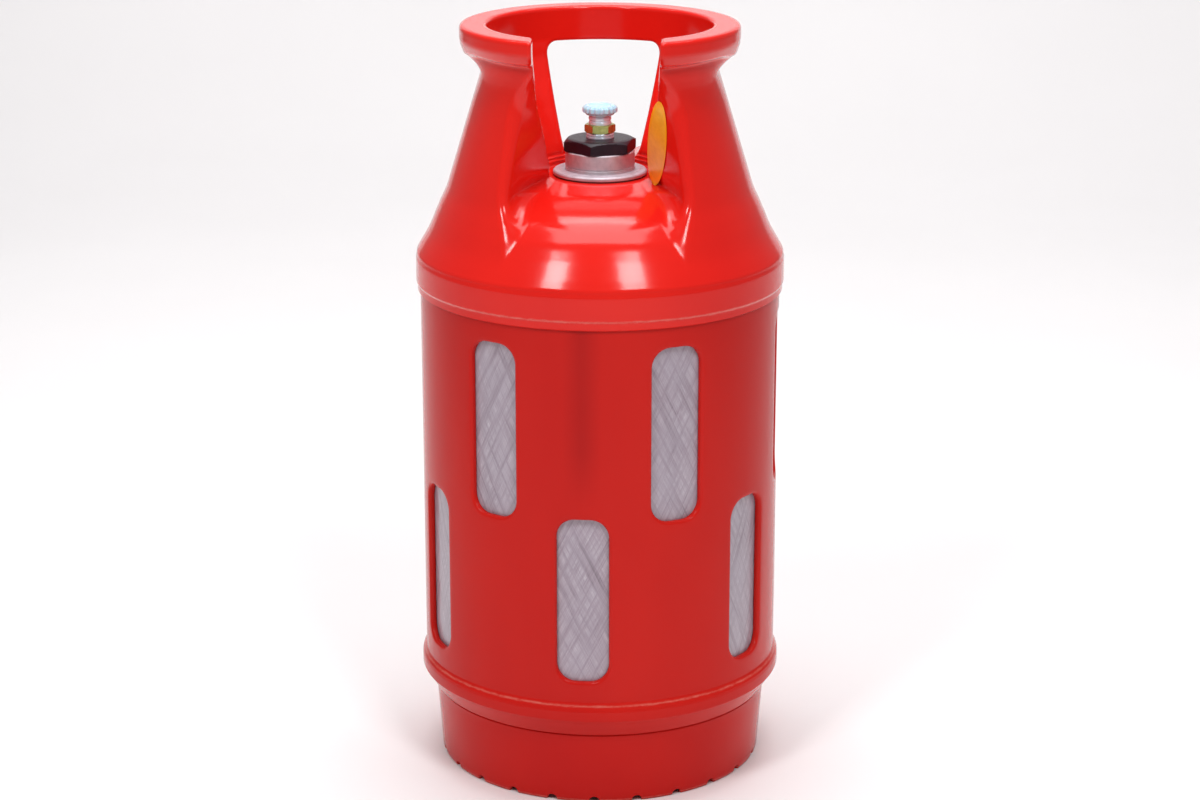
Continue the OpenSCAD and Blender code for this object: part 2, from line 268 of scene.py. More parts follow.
def math_node(tree, operation, a, b=None, clamp=False):
    node = tree.nodes.new("ShaderNodeMath")
    node.operation = operation
    node.use_clamp = clamp
    for socket, value in zip(node.inputs, (a, b)):
        if value is None:
            continue
        if isinstance(value, (int, float)):
            socket.default_value = value
        else:
            tree.links.new(value, socket)
    return node.outputs["Value"]


def mix_colour(tree, fac, a, b):
    node = tree.nodes.new("ShaderNodeMix")
    node.data_type = "RGBA"
    for key, value in (("Factor", fac), ("A", a), ("B", b)):
        socket = [s for s in node.inputs if s.name == key and s.enabled][0]
        if isinstance(value, (int, float)):
            socket.default_value = value
        elif isinstance(value, tuple):
            socket.default_value = (*value, 1)
        else:
            tree.links.new(value, socket)
    return [s for s in node.outputs if s.enabled][0]


def bump(tree, shader, layers):
    """Chains bump layers (height, distance in metres, strength) into the shader's normal."""
    normal = None
    for height, distance, strength in layers:
        links = {"Height": height}
        if normal:
            links["Normal"] = normal
        normal = add(
            tree, "ShaderNodeBump", links, Strength=strength, Distance=distance
        ).outputs["Normal"]
    tree.links.new(normal, shader.inputs["Normal"])


def paint(tree, shader, colour):
    tree.links.new(colour, shader.inputs["Base Color"])


def gloss(tree, shader, fac, least, most, full=0.7):
    """Roughness that follows a pattern, from least to most."""
    rough = ramp(tree, fac, [(0.3, grey(least)), (full, grey(most))])
    tree.links.new(rough, shader.inputs["Roughness"])


def painted_parting_shade(tree, base, start, end):
    """Painted shade: darkens the colour in a soft vertical stripe along the sleeve's parting line
    between two heights (m), fading out towards the lower one.
    """
    place = add(
        tree, "ShaderNodeSeparateXYZ", {"Vector": coords(tree, turn=(0, 0, -SLEEVE_TURN))}
    ).outputs
    aside = math_node(tree, "ABSOLUTE", place["X"])
    across = ramp(
        tree, math_node(tree, "MULTIPLY", aside, 1 / (16 * MM)), [(0.12, grey(1)), (1.0, grey(0))]
    )
    rise = math_node(
        tree, "DIVIDE", math_node(tree, "SUBTRACT", place["Z"], start), end - start, clamp=True
    )
    along = ramp(tree, rise, [(0.05, grey(0)), (0.35, grey(0.30))])
    return mix_colour(tree, math_node(tree, "MULTIPLY", across, along), base, (0.20, 0.004, 0.006))


def casing_red(name, light, dark, rough, ripple, scuffs_and_highlight, ior, coat=0.0, parting_shade=None):
    """Glossy moulded plastic: colour drift, flow ripple, a painted edge highlight broken into scuff
    marks between two heights (m), and an optional painted stripe of shade.
    """
    m, tree, shader = new_material(name, rough, IOR=ior, Coat_Weight=coat, Coat_Roughness=0.06)
    highlight_from, highlight_to = scuffs_and_highlight
    drift = noise(tree, coords(tree, (1, 1, 0.35)), 9, 2)
    red = ramp(tree, drift, [(0.3, dark), (0.7, light)])
    height = add(tree, "ShaderNodeSeparateXYZ", {"Vector": coords(tree)}).outputs["Z"]
    reach = (highlight_to - highlight_from) / 2
    off = math_node(tree, "ABSOLUTE", math_node(tree, "SUBTRACT", height, highlight_from + reach))
    near = math_node(tree, "SUBTRACT", 1, math_node(tree, "DIVIDE", off, reach), clamp=True)
    scratch = noise(tree, coords(tree, (14, 14, 60)), 9, 6, 0.72)
    # Painted highlight: a pale edge highlight between the two heights, broken up by scratch noise
    # into scuff marks.
    scuff_and_highlight_mask = ramp(
        tree, math_node(tree, "MULTIPLY", scratch, near), [(0.26, grey(0)), (0.62, grey(0.34))]
    )
    base = mix_colour(tree, scuff_and_highlight_mask, red, (0.86, 0.36, 0.28))
    # Painted shade: a soft dark stripe along the sleeve's parting line.
    if parting_shade:
        base = painted_parting_shade(tree, base, *parting_shade)
    paint(tree, shader, base)
    fine = noise(tree, coords(tree), 260, 4, 0.6)
    gloss(tree, shader, fine, rough * 0.9, rough * 1.15, 0.75)
    flow = noise(tree, coords(tree, (1, 1, 0.22)), 24, 2, 0.4)
    bump(tree, shader, [(flow, 0.003, ripple), (fine, 0.00005, 0.008), (scratch, 0.0001, 0.012)])
    return m


def metal(
    name, colour, dark, rough, lines, line_depth=0.00025, tint=None, stretch=(1, 1, 40), amount=1.0
):
    """Turned or plated metal: fine tool lines, small stains and uneven gloss."""
    m, tree, shader = new_material(name, rough, amount)
    stain = noise(tree, coords(tree), 120, 4, 0.6)
    stops = [(0.3, dark), (0.62, colour)] + ([(0.9, tint)] if tint else [])
    paint(tree, shader, ramp(tree, stain, stops))
    cut = noise(tree, coords(tree, stretch), lines, 3, 0.7)
    gloss(tree, shader, cut, rough * 0.75, rough * 1.4)
    bump(tree, shader, [(cut, line_depth, 0.25), (stain, 0.0003, 0.08)])
    return m


def moulded(name, colour, dark, rough, grain, depth=0.0002, **sockets):
    """Plain moulded plastic or rubber with a fine grain and slight staining."""
    m, tree, shader = new_material(name, rough, **sockets)
    stain = noise(tree, coords(tree), 70, 4, 0.6)
    paint(tree, shader, ramp(tree, stain, [(0.3, dark), (0.7, colour)]))
    grains = noise(tree, coords(tree), grain, 3, 0.6)
    gloss(tree, shader, grains, rough * 0.85, min(1, rough * 1.2))
    bump(tree, shader, [(grains, depth, 0.3)])
    return m


def wound_glass():
    """Glass roving wound both ways in clear resin: pale strands, dark gaps and wet gloss."""
    m, tree, shader = new_material(
        "wound_fibre", 0.3, IOR=1.5, Coat_Weight=0.5, Coat_Roughness=0.15
    )
    uv = add(tree, "ShaderNodeTexCoord").outputs["UV"]
    strands = []
    for sign in (1, -1):
        lean = mapping(tree, uv, Rotation=(0, 0, sign * WINDING_LEAN))
        for scale, detail in ((1.0, 3), (3.6, 4)):
            squeeze = mapping(
                tree, lean, Scale=(scale, 0.035 * scale, 1), Location=(sign * 3.7, scale, 0)
            )
            strands.append(noise(tree, squeeze, 260, detail, 0.65))
    broad = math_node(tree, "MINIMUM", strands[0], strands[2])
    fine = math_node(tree, "MULTIPLY", math_node(tree, "ADD", strands[1], strands[3]), 0.5)
    both = math_node(
        tree, "ADD", math_node(tree, "MULTIPLY", broad, 0.6), math_node(tree, "MULTIPLY", fine, 0.4)
    )
    cloud = noise(tree, coords(tree), 30, 3)
    tone = ramp(
        tree, both,
        [
            (0.30, (0.17, 0.13, 0.16)), (0.42, (0.31, 0.25, 0.30)), (0.52, (0.42, 0.36, 0.42)),
            (0.66, (0.62, 0.58, 0.62)),
        ],
    )
    base = mix_colour(
        tree, ramp(tree, cloud, [(0.35, grey(0)), (0.75, grey(0.35))]), tone, (0.42, 0.38, 0.45)
    )
    paint(tree, shader, base)
    gloss(tree, shader, fine, 0.22, 0.48)
    bump(tree, shader, [(broad, 0.0012, 0.5), (fine, 0.0006, 0.5)])
    return m


# Painted edge highlights with scuff marks: on the shroud's skirt lip, on the top edge of the
# sleeve's band, and at the foot's lower edge.
SHROUD_RED = casing_red(
    "casing_red_top", (0.78, 0.016, 0.009), (0.70, 0.011, 0.007),
    rough=0.15, ripple=0.07, scuffs_and_highlight=(0.4205, 0.4265), ior=1.36, coat=0.10,
)
# The sleeve's red also carries a painted stripe of shade along its parting line, 0.255 to 0.425 m
# high.
SLEEVE_RED = casing_red(
    "casing_red_body", (0.60, 0.015, 0.010), (0.53, 0.011, 0.008),
    rough=0.18, ripple=0.035, scuffs_and_highlight=(0.0905, 0.0955), ior=1.22, parting_shade=(0.255, 0.425),
)
FOOT_RED = casing_red(
    "casing_red_foot", (0.58, 0.013, 0.009), (0.52, 0.010, 0.008),
    rough=0.18, ripple=0.035, scuffs_and_highlight=(0.0, 0.004), ior=1.22,
)
FIBRE = wound_glass()
BOSS = metal("boss_metal", (0.60, 0.57, 0.61), (0.46, 0.43, 0.47), 0.42, 60, amount=0.55)
FLANGE = metal(
    "flange_metal", (0.58, 0.54, 0.60), (0.44, 0.41, 0.45), 0.46, 60, stretch=(1, 1, 8), amount=0.5
)
# Painted highlight: the plating's pale blue-white base, with little metal, stands in for the glare
# on the real chrome.
PLATED = metal(
    "valve_plating", (0.72, 0.86, 0.95), (0.60, 0.76, 0.88), 0.2, 120, 0.0001, amount=0.35
)
BRASS = metal(
    "nut_brass", (0.58, 0.62, 0.22), (0.30, 0.36, 0.10), 0.28, 160, 0.0001,
    tint=(0.30, 0.50, 0.22), amount=0.75,
)
PLAIN_BRASS = metal("brass_plain", (0.72, 0.54, 0.26), (0.52, 0.38, 0.16), 0.26, 160)
SPRING = metal("spring_steel", (0.62, 0.63, 0.66), (0.45, 0.45, 0.48), 0.3, 200)
BLACK = moulded(
    "nut_black", (0.020, 0.012, 0.022), (0.010, 0.006, 0.011), 0.36, 700, 0.0002, IOR=1.35
)
CAP = moulded(
    "cap_plastic", (0.48, 0.78, 0.90), (0.36, 0.66, 0.82), 0.22, 500, 0.0001,
    Subsurface_Weight=0.15, Subsurface_Scale=0.004, Coat_Weight=0.3,
)
LINER = moulded("liner_plastic", (0.84, 0.83, 0.78), (0.76, 0.75, 0.70), 0.5, 400)
FOAM = moulded("foam_grey", (0.16, 0.16, 0.17), (0.10, 0.10, 0.11), 0.9, 500, 0.0008)
RUBBER = moulded("seal_rubber", (0.035, 0.035, 0.036), (0.02, 0.02, 0.02), 0.5, 900)


# ---- shroud: a distance field turned into a mesh
COLLAR_INSIDE = [
    (RING_IN, TOTAL_H, 3), (RING_IN, 612, 12), (91, 598, 30), (84, 581, 30), (72, 558, 30),
    (61, 540, 25), (55, 530, 12), (52, 523.5, 0.6), (52, 520.5, 0.6), (49.5, 520.5, 0.6),
    (49.5, 517.5, 0.6), (47, 517.5, 0.6), (47, 507, 0), (90, 496, 0), (130, 468, 0), (148, 447, 0),
]
PILLAR_FOOT = (134.6, 484.5)
COLLAR_FOOT = [(155.2, 447, 0), (154.9, 449, 3), (*PILLAR_FOOT, 16)]
COLLAR_RIM = [(116.4, 627.4, 0.3), (RING_R, 628, 0.6), (RING_R, TOTAL_H, 3.6)]
COLLAR_FLARE = [(98.4, 603.5, 6), (110, 613.4, 3), (113.5, 615.8, 4), (116.5, 624.5, 2)]
COLLAR = rounded(COLLAR_FOOT + COLLAR_FLARE + COLLAR_RIM + COLLAR_INSIDE)
# Beside the front opening the pillars stand further out, and meet the ring higher up
FRONT_FLARE = [(102.6, 590, 160), (103.6, 617, 3), (112, 620, 3), (116.3, 626.6, 1.2)]
COLLAR_FRONT = rounded(COLLAR_FOOT + FRONT_FLARE + COLLAR_RIM + COLLAR_INSIDE)
FRONT_PART = (math.radians(62), math.radians(88))     # the change-over, as angles off the front
CROWN = rounded([
    (36, CROWN_Z, 1), (36, 400, 0), (151, 400, 0), (SKIRT_R - 1.2, SKIRT_LOW - 10, 0),
    (SKIRT_R - 1.2, 422.5, 0.8), (SKIRT_R, 424, 0.8), (SKIRT_R - 0.1, 444, 1),
    (SKIRT_R - 0.7, 445.2, 0.3), (155.2, 448.6, 5), (151, 456, 14), (143, 468.5, 40),
    (134, 481, 40), (121, 492.5, 60), (104, 501.5, 80), (80, 508.2, 120), (46, CROWN_Z, 60),
])
# Side walls of the front opening in plan: height, half width and depth at the bowl, then at the
# outer fold
CHEEK = [
    (455, 40, 0, 65, 130), (480, 40, 0, 68.4, 117.5), (505, 40, 4, 72.4, 104),
    (514, 39.5, 14, 72.9, 100.3), (522, 38.8, 32, 72.2, 97.5), (534, 41.5, 40, 70.5, 93.5),
    (548, 42.7, 51, 68.8, 89.5), (564, 45.6, 62, 66.5, 84.5), (580, 49, 69.5, 64.5, 80.5),
    (592, 49.6, 75, 60, 82.5), (600, 49.4, 78, 55.2, 88), (607, 49.6, 79, 52.6, 95),
    (615, 50.3, 79, 51.6, 105), (623, GAP_HALF, 79, GAP_HALF, 107),
    (650, GAP_HALF, 79, GAP_HALF, 107),
]
# Radius and height of the hidden inner face, from the skirt's edge up to the bore
UNDERSIDE = [
    (SLEEVE_R + 1.2, SKIRT_LOW), (SLEEVE_R + 0.3, SKIRT_LOW + 0.6), (SLEEVE_R + 0.3, SLEEVE_TOP),
    (149.4, SLEEVE_TOP), (149.4, 447), (146, 456), (139, 465.5), (128, 475.5), (114, 486),
    (98, 494.5), (76, 501.5), (46, CROWN_Z - 3),
]
CHEEK_SOFT = 3.5        # the walls' change of shape with height is smoothed over this distance
FOLD_R = 9.0            # fold between a side wall and the pillar's outer face
SHARP_FOLD = 1.8        # the same wall's other edges
FOLD_FADES = (598, 614)     # heights where the fold turns sharp, as the wall thins
THIN_WALL = (580, 600)
RING_FOLD = (608, 616)  # heights where the edges grow rounder again, at the ring
OPENING_BACK = 8        # the front opening reaches back to this far in front of the axis
HOLD_EDGE = 2.4
HOLD_FRONT = 20         # the rear hand hold is cut only behind this
VALLEY_R = 15.0         # fillet between the crown and the walls that stand on it
VALLEY_GROWS, VALLEY_ENDS = (462, 494), (509, 517)
PILLAR_MIN_R = 101      # where the pillar's outer face stops leaning in
LEAN_BELOW, LEAN_ABOVE = 0.57, 0.304     # how the outer face leans in, below and above its foot
HOLD = {"top": 610.5, "low": 510, "top_half": 49.0, "low_half": 34, "top_r": 10, "low_r": 20}
HOLD_FLARE, HOLD_FLARE_Y = 0.15, 78     # its sides spread outwards from this depth


def cheek_curves():
    """The cheek rows sampled each millimetre of height and smoothed."""
    rows = np.array(CHEEK, float)
    z = np.arange(440, 660, 1.0)
    taps = np.exp(-0.5 * (np.arange(-12, 13) / CHEEK_SOFT) ** 2)
    taps /= taps.sum()
    out = []
    for column in range(1, 5):
        values = np.interp(z, rows[:, 0], rows[:, column])
        out.append(np.convolve(np.pad(values, 12, mode="edge"), taps, mode="valid"))
    return z, out


CHEEK_Z, CHEEK_CURVES = cheek_curves()


def opening_distance(x, y, z):
    """Distance to the front opening, positive in the material beside it and behind it."""
    xi, yi, xo, yo = [np.interp(z, CHEEK_Z, c) for c in CHEEK_CURVES]
    dx, dy = xo - xi, yi - yo
    length = np.hypot(dx, dy)
    nx, ny = -dy / length, dx / length
    side = (np.abs(x) - xi) * nx + (y + yi) * ny
    return np.maximum(side, y + OPENING_BACK)


def hold_distance(x, y, z):
    """Distance to the rear hand hold's outline, negative inside; its sides flare outwards."""
    t = (z - HOLD["low"]) / (HOLD["top"] - HOLD["low"])
    half = HOLD["low_half"] + (HOLD["top_half"] - HOLD["low_half"]) * np.clip(t, 0, 1) ** 0.75
    half = half + HOLD_FLARE * (y - HOLD_FLARE_Y)
    r = HOLD["low_r"] + (HOLD["top_r"] - HOLD["low_r"]) * np.clip(t, 0, 1)
    mid = (HOLD["low"] + HOLD["top"]) / 2
    u = np.abs(x) - half + r
    v = np.abs(z - mid) - (HOLD["top"] - HOLD["low"]) / 2 + r
    return np.hypot(np.maximum(u, 0), np.maximum(v, 0)) + np.minimum(np.maximum(u, v), 0) - r


def outline_distances(radius, z):
    """Distances to the collar's outline, its outline beside the front opening, and the crown's."""
    return [polygon_distance(outline, radius, z) for outline in (COLLAR, COLLAR_FRONT, CROWN)]


def shroud_distance(radius, angle, z, outlines=None):
    """Signed distance to the shroud; outlines holds ready distances to its three outlines."""
    x, y = radius * np.cos(angle), radius * np.sin(angle)
    collar, front, crown = outlines or outline_distances(radius, z)
    off_front = np.arctan2(np.abs(x), -y)
    collar = front + (collar - front) * smooth_step(*FRONT_PART, off_front)
    foot_r, foot_z = PILLAR_FOOT
    lean = np.where(z > foot_z, LEAN_ABOVE, LEAN_BELOW)
    face = np.maximum(foot_r - lean * (z - foot_z), PILLAR_MIN_R)
    thin = smooth_step(*THIN_WALL, z)
    outer = smooth_step(-20 + 12 * thin, -4 + 2 * thin, radius - face)
    fold = SHARP_FOLD + (FOLD_R - SHARP_FOLD) * outer * (1 - smooth_step(*FOLD_FADES, z))
    fold = fold + 1.2 * smooth_step(*RING_FOLD, z)
    edge = cut_round(collar, -opening_distance(x, y, z), fold)
    hold = np.maximum(hold_distance(x, y, z), HOLD_FRONT - y)
    wall = cut_round(edge, -hold, HOLD_EDGE)
    valley = 0.2 + VALLEY_R * smooth_step(*VALLEY_GROWS, z) * (1 - smooth_step(*VALLEY_ENDS, z))
    return join_round(wall, crown, valley)


def shroud_at(p):
    """Signed distance to the shroud at points (x, y, z)."""
    return shroud_distance(np.hypot(p[:, 0], p[:, 1]), np.arctan2(p[:, 1], p[:, 0]), p[:, 2])


def spaced(*spans):
    """Grid lines: each span is (start, end, step); spans follow one another."""
    lines = [
        np.linspace(a, b, max(1, round((b - a) / step)), endpoint=False) for a, b, step in spans
    ]
    return np.append(np.concatenate(lines), spans[-1][1])


def surface_nets(radii, angles, heights, field):
    """Quad mesh of field = 0 on a cylindrical grid that closes on itself in angle."""
    nr, nt, nz = field.shape
    wide = np.concatenate([field, field[:, :1]], 1)
    inside = wide < 0
    corner = list(np.ndindex(2, 2, 2))
    view = {k: wide[k[0]:nr - 1 + k[0], k[1]:nt + k[1], k[2]:nz - 1 + k[2]] for k in corner}
    count = sum((view[k] < 0).astype(np.int8) for k in corner)
    cells = np.argwhere((count > 0) & (count < 8))
    index = -np.ones((nr - 1, nt, nz - 1), np.int64)
    index[tuple(cells.T)] = np.arange(len(cells))
    total = np.zeros((len(cells), 3))
    hits = np.zeros(len(cells))
    for k in corner:
        for axis in range(3):
            if k[axis]:
                continue
            m = tuple(1 if i == axis else v for i, v in enumerate(k))
            fa, fb = view[k][tuple(cells.T)], view[m][tuple(cells.T)]
            cross = (fa < 0) != (fb < 0)
            at = np.tile(np.array(k, float), (len(cells), 1))
            at[:, axis] = np.where(cross, fa / np.where(fa == fb, 1, fa - fb), 0)
            total += at * cross[:, None]
            hits += cross
    place = cells + total / hits[:, None]
    turn = np.append(angles, angles[0] + 2 * math.pi)
    points = np.stack([
        np.interp(place[:, 0], np.arange(nr), radii),
        np.interp(place[:, 1], np.arange(nt + 1), turn),
        np.interp(place[:, 2], np.arange(nz), heights),
    ], 1)
    quads = []
    for axis in range(3):
        here, ahead = [
            np.moveaxis(np.moveaxis(inside, axis, 0)[part], 0, axis)
            for part in (slice(0, -1), slice(1, None))
        ]
        edges = np.argwhere(here != ahead)
        edges = edges[edges[:, 1] < nt]
        p, q = [(1, 2), (2, 0), (0, 1)][axis]
        for side in {p, q} - {1}:
            edges = edges[(edges[:, side] > 0) & (edges[:, side] < field.shape[side] - 1)]
        ring = []
        for dp, dq in ((-1, -1), (0, -1), (0, 0), (-1, 0)):
            cell = edges.copy()
            cell[:, p] += dp
            cell[:, q] += dq
            cell[:, 1] %= nt
            ring.append(index[tuple(cell.T)])
        ring = np.stack(ring, 1)
        flip = ~here[tuple(edges.T)]
        ring[flip] = ring[flip][:, ::-1]
        quads.append(ring)
    return points, np.concatenate(quads)


def settle(points, rounds=3, step=0.04):
    """Moves (radius, angle, height) points on to the shroud's surface, and gives x, y, z."""
    xyz = polar(*points.T)
    for _ in range(rounds):
        here = shroud_at(xyz)
        slope = np.stack([
            (shroud_at(xyz + step * e) - shroud_at(xyz - step * e)) / (2 * step) for e in np.eye(3)
        ], 1)
        size = np.maximum((slope ** 2).sum(1), 0.25)
        move = -(here / size)[:, None] * slope
        far = np.linalg.norm(move, axis=1)
        xyz += move * np.minimum(1, 0.8 / np.maximum(far, 1e-9))[:, None]
    return xyz


def build_shroud():
    radii = spaced(
        (33.5, 44, 2.1), (44, 56, 1.1), (56, 90, 2.1), (90, 119, 1.5), (119, 150, 2.2),
        (150, 158.5, 0.85)
    )
    heights = spaced(
        (SKIRT_LOW, 448, 1.6), (448, 508, 2.3), (508, 526, 1.1), (526, 596, 2.1), (596, 630, 1.4),
        (630, 644, 1.0),
    )
    # Columns are closest together round the front opening (-90), then round the hand hold (90)
    ends = np.radians([-142, -38, 56, 124, 218])
    angles = np.concatenate([
        np.linspace(a, b, count, endpoint=False)
        for a, b, count in zip(ends, ends[1:], (130, 38, 62, 38))
    ])
    rr, zz = np.meshgrid(radii, heights, indexing="ij")
    outlines = [field[:, None, :] for field in outline_distances(rr, zz)]
    field = shroud_distance(
        radii[:, None, None], angles[None, :, None], heights[None, None, :], outlines
    )
    points, quads = surface_nets(radii, angles, heights, field)
    bore = (points[:, 0] < 38) & (points[:, 2] < CROWN_Z - 2.5)
    quads = quads[~bore[quads].any(1)]
    used, compact = np.unique(quads, return_inverse=True)
    return close_under(settle(points[used]), compact.reshape(quads.shape))


def close_under(points, quads):
    """Adds the shroud's hidden inner face, from the skirt's edge up under the crown to the bore."""
    edges = np.concatenate([quads[:, [i, (i + 1) % 4]] for i in range(4)])
    keys, counts = np.unique(np.sort(edges, 1), axis=0, return_counts=True)
    rim = np.unique(keys[counts == 1])
    turn = np.arctan2(points[:, 1], points[:, 0])
    low_edge = points[rim, 2] < SLEEVE_TOP
    outer, inner = rim[low_edge], rim[~low_edge]
    outer = outer[np.argsort(turn[outer])]
    inner = inner[np.argsort(turn[inner])]
    if len(outer) != len(inner):
        raise ValueError("the skirt and the bore need one edge point in each column")
    rings = [outer]
    angle = turn[outer]
    for r, z in UNDERSIDE:
        rings.append(len(points) + np.arange(len(outer)))
        points = np.concatenate([points, polar(r, angle, z)])
    rings.append(inner)
    strips = [
        np.stack([a, np.roll(a, -1), np.roll(b, -1), b], 1)[:, ::-1]
        for a, b in zip(rings, rings[1:])
    ]
    return points, np.concatenate([quads] + strips)


make("shroud_shell", *build_shroud(), SHROUD_RED, "casing_red", replaces=["shroud"], sharp=50)


# ---- body sleeve: windows with rolled lips
LIP_R = 2.7
WINDOW_FRAME = 11       # how far beyond a window its own rows of the grid reach
COLUMNS = 12
HALF_COLUMN = math.pi * SLEEVE_R / COLUMNS
ACROSS = np.array([-1, -0.93, -0.84, -0.74, -0.63, -0.51, -0.38, -0.25, -0.12, -0.05])
ACROSS = np.concatenate([ACROSS, [0], -ACROSS[::-1]]) * HALF_COLUMN
LEVELS = spaced((97, 103, 6), (103, 266, 5.1), (266, 430, 5.15), (430, 436, 6))


def nearest_level(z):
    return int(np.argmin(np.abs(LEVELS - z)))


def lip_loops():
    """(offset from the window's outline, radius) from the inner face round the lip to the outer."""
    inner = SLEEVE_R - WALL
    rest = SHELL_R + 0.15
    loops = [(6, inner), (3.4, inner), (2.8, rest + 0.3), (0.5, rest), (0, rest + 0.5)]
    for k in range(6):
        a = math.pi / 2 * k / 5
        loops.append((LIP_R * (1 - math.cos(a)), SLEEVE_R - LIP_R + LIP_R * math.sin(a)))
    return loops + [(6.5, SLEEVE_R)]


def mould_line(u, z, column):
    """A shallow vertical sink along the sleeve's parting line, in front and behind."""
    if column not in (0, COLUMNS // 2):
        return 0.0
    return -0.5 * math.exp(-((u / 5.0) ** 2)) * float(smooth_step(90, 120, z))


class Sheet:
    """Collects points given as (arc length, height, radius, column) and quads."""

    def __init__(self):
        self.points, self.faces = [], []

    def row(self, places, column):
        start = len(self.points)
        for u, z, r in places:
            turn = SLEEVE_TURN - math.pi / 2 + (column * 2 * HALF_COLUMN + u) / SLEEVE_R
            if r > SLEEVE_R - 0.6:
                r += mould_line(u, z, column)
            self.points.append((r * math.cos(turn), r * math.sin(turn), z))
        return list(range(start, len(self.points)))

    def between(self, a, b, closed=False):
        n = len(a)
        for i in range(n if closed else n - 1):
            j = (i + 1) % n
            self.faces.append((a[i], a[j], b[j], b[i]))


def window_column(sheet, column, bottom, top):
    """One column of the sleeve, with its window between two heights."""
    first, last = nearest_level(bottom - WINDOW_FRAME), nearest_level(top + WINDOW_FRAME)
    z0, z1 = LEVELS[first], LEVELS[last]
    border = [(u, z0) for u in ACROSS[:-1]] + [(HALF_COLUMN, z) for z in LEVELS[first:last]]
    border += [(u, z1) for u in ACROSS[:0:-1]] + [(-HALF_COLUMN, z) for z in LEVELS[last:first:-1]]
    r = WINDOW["r"]
    iu, zl, zh = WINDOW["half"] - r, bottom + r, top - r

    def loop(offset, radius, part=0.0):
        places = []
        for u, z in border:
            qu, qz = min(max(u, -iu), iu), min(max(z, zl), zh)
            du, dz = u - qu, z - qz
            size = math.hypot(du, dz)
            pu, pz = qu + du / size * (r + offset), qz + dz / size * (r + offset)
            places.append((pu + (u - pu) * part, pz + (z - pz) * part, radius))
        return sheet.row(places, column)

    inner = SLEEVE_R - WALL
    rings = [loop(0, inner, 1), loop(6, inner, 0.45)]
    rings += [loop(offset, radius) for offset, radius in lip_loops()]
    rings += [loop(6.5, SLEEVE_R, 0.3), loop(6.5, SLEEVE_R, 0.62), loop(0, SLEEVE_R, 1)]
    for a, b in zip(rings, rings[1:]):
        sheet.between(a, b, closed=True)
    for z_list in (LEVELS[:first + 1], LEVELS[last:]):
        for radius in (inner, SLEEVE_R):
            rows = [sheet.row([(u, z, radius) for u in ACROSS], column) for z in z_list]
            for a, b in zip(rows, rows[1:]):
                if radius == inner:
                    a, b = b, a
                sheet.between(a, b)


def build_sleeve():
    sheet = Sheet()
    inner = SLEEVE_R - WALL
    outline = rounded([
        (SLEEVE_R, 97, 0), (SLEEVE_R, 95.6, 4), (BAND_R - 0.6, 90.6, 2), (BAND_R, 88, 2),
        (BAND_R, 80, 2.4), (153, 76.4, 6), (145, FOOT_TOP + 0.5, 1.2), (139.8, FOOT_TOP, 0.3),
        (139.8, FOOT_TOP + 4, 0.3), (143.5, FOOT_TOP + 4, 1), (inner, 80, 4), (inner, 97, 0),
    ], 4)
    rim = [
        (inner, LEVELS[-1]), (inner, SLEEVE_TOP), (SLEEVE_R - 1, SLEEVE_TOP),
        (SLEEVE_R, SLEEVE_TOP - 1), (SLEEVE_R, LEVELS[-1]),
    ]
    for column in range(COLUMNS):
        bottom, top = HIGH_ROW if column % 2 else LOW_ROW
        window_column(sheet, column, bottom, top)
        for profile in (outline, rim):
            rows = [sheet.row([(u, z, r) for u in ACROSS], column) for r, z in profile]
            for a, b in zip(rows, rows[1:]):
                sheet.between(b, a)
    return weld(sheet.points, sheet.faces, 0.02)


make("sleeve_shell", *build_sleeve(), SLEEVE_RED, "casing_red", replaces=["body_sleeve"], sharp=55)


# ---- foot ring with arched drain notches
NOTCHES = 24
NOTCH = {"half": 4.3, "h": 4.6}
FOOT_MID_R = 137.0      # middle of the foot's wall
NOTCH_ZONE = 5.8        # the notches bend the foot only below this height


def foot_angles():
    """Angles that follow each notch's arch closely and skip quickly between notches."""
    gap, edge = 2 * math.pi / NOTCHES, NOTCH["half"] / FOOT_MID_R
    out = []
    for i in range(NOTCHES):
        centre = 2 * math.pi * i / NOTCHES - math.pi / 2
        for s in np.linspace(-math.pi / 2, math.pi / 2, 13):
            out.append((centre + 1.002 * edge * math.sin(s), NOTCH["h"] * math.cos(s)))
        for k in range(1, 9):
            out.append((centre + edge + (gap - 2 * edge) * k / 9, 0.0))
    return out


def build_foot():
    foot_r = high("foot_ring")[0] - 4.5
    low_part = [
        (133.6, 5.6), (133.8, 1.0), (134.8, 0), (foot_r - 2.2, 0), (foot_r - 0.8, 0.5),
        (foot_r, 1.8), (foot_r + 0.25, NOTCH_ZONE),
    ]
    upper = rounded([
        (foot_r + 4.4, 61.5, 1.2), (foot_r + 3, FOOT_TOP, 0.4), (139.6, FOOT_TOP, 0.3),
        (139.6, FOOT_TOP + 4.3, 0.3), (141, FOOT_TOP + 5.2, 0.3), (141, FOOT_TOP + 6.5, 0.3),
        (139.6, FOOT_TOP + 8, 0.3), (135, FOOT_TOP + 8, 0.3), (134.6, 50, 2), (104, 33, 2),
        (96, 33, 0.8), (96, 28, 0.8), (106, 28, 2), (134.4, 43, 2),
    ], 3)
    wall_top, spread = 61.0, 4.1
    walls = [
        (foot_r + 0.25 + spread * k / 8, NOTCH_ZONE + (wall_top - NOTCH_ZONE) * k / 8)
        for k in range(1, 8)
    ]
    radii, heights = np.array(low_part + walls + upper + [(133.9, 30), (133.7, 15)]).T
    rows = []
    for angle, arch in foot_angles():
        lifted = arch + heights * (NOTCH_ZONE - arch) / NOTCH_ZONE
        rows.append(polar(radii, angle, np.where(heights < NOTCH_ZONE, lifted, heights)))
    return closed_grid(rows)


make("foot_shell", *build_foot(), FOOT_RED, "casing_red", replaces=["foot_ring"], sharp=40)


